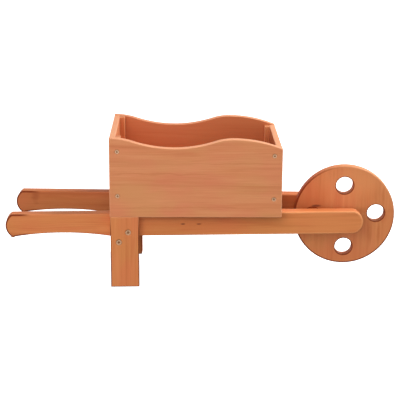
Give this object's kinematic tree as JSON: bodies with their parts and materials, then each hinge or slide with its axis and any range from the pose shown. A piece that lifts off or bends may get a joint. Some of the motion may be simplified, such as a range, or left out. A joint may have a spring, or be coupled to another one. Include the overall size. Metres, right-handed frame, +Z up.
{
  "type": "wheelbarrow planter",
  "caption": "Wooden wheelbarrow planter: open plank box with wavy sides on two tapering rails with handles, two legs, and a solid wheel with round holes between the rails.",
  "frame": {"origin": "on the ground, under the centre of the bounding box", "axes": "+X along the rails from the handles towards the wheel, +Y towards the left side, +Z up"},
  "size_m": [0.7002, 0.208, 0.27],
  "materials": {
    "panel_wood": "stained softwood, satin",
    "end_wood": "stained softwood, satin",
    "post_wood": "stained softwood, satin",
    "floor_wood": "stained softwood, satin",
    "rail_wood": "stained softwood, satin",
    "leg_wood": "stained softwood, satin",
    "wheel_wood": "stained softwood, satin",
    "axle_steel": "zinc plated",
    "screw_steel": "yellow zinc plated",
    "leg_screw_steel": "yellow zinc plated"
  },
  "bodies": {
    "barrow": {"side_panel_right": "panel_wood", "side_panel_left": "panel_wood", "end_board_rear": "end_wood", "end_board_front": "end_wood", "corner_post_rear_right": "post_wood", "corner_post_rear_left": "post_wood", "corner_post_front_right": "post_wood", "corner_post_front_left": "post_wood", "floor_slat_1": "floor_wood", "floor_slat_2": "floor_wood", "floor_slat_3": "floor_wood", "floor_slat_4": "floor_wood", "floor_slat_5": "floor_wood", "rail_right": "rail_wood", "rail_left": "rail_wood", "leg_right": "leg_wood", "leg_left": "leg_wood", "crossbar": "floor_wood", "axle": "axle_steel", "sleeve_right": "post_wood", "sleeve_left": "post_wood", "washers": "axle_steel", "panel_screws_right": "screw_steel", "panel_screws_left": "screw_steel", "end_screws_rear": "screw_steel", "end_screws_front": "screw_steel", "floor_screws": "screw_steel", "leg_screws": "leg_screw_steel"},
    "wheel": {"wheel": "wheel_wood"}
  },
  "joints": [
    {"name": "wheel_spin", "type": "hinge", "parent": "barrow", "child": "wheel", "pos_m": [0.25809, 0, 0.1054], "axis": [0, 1, 0], "continuous": true}
  ]
}
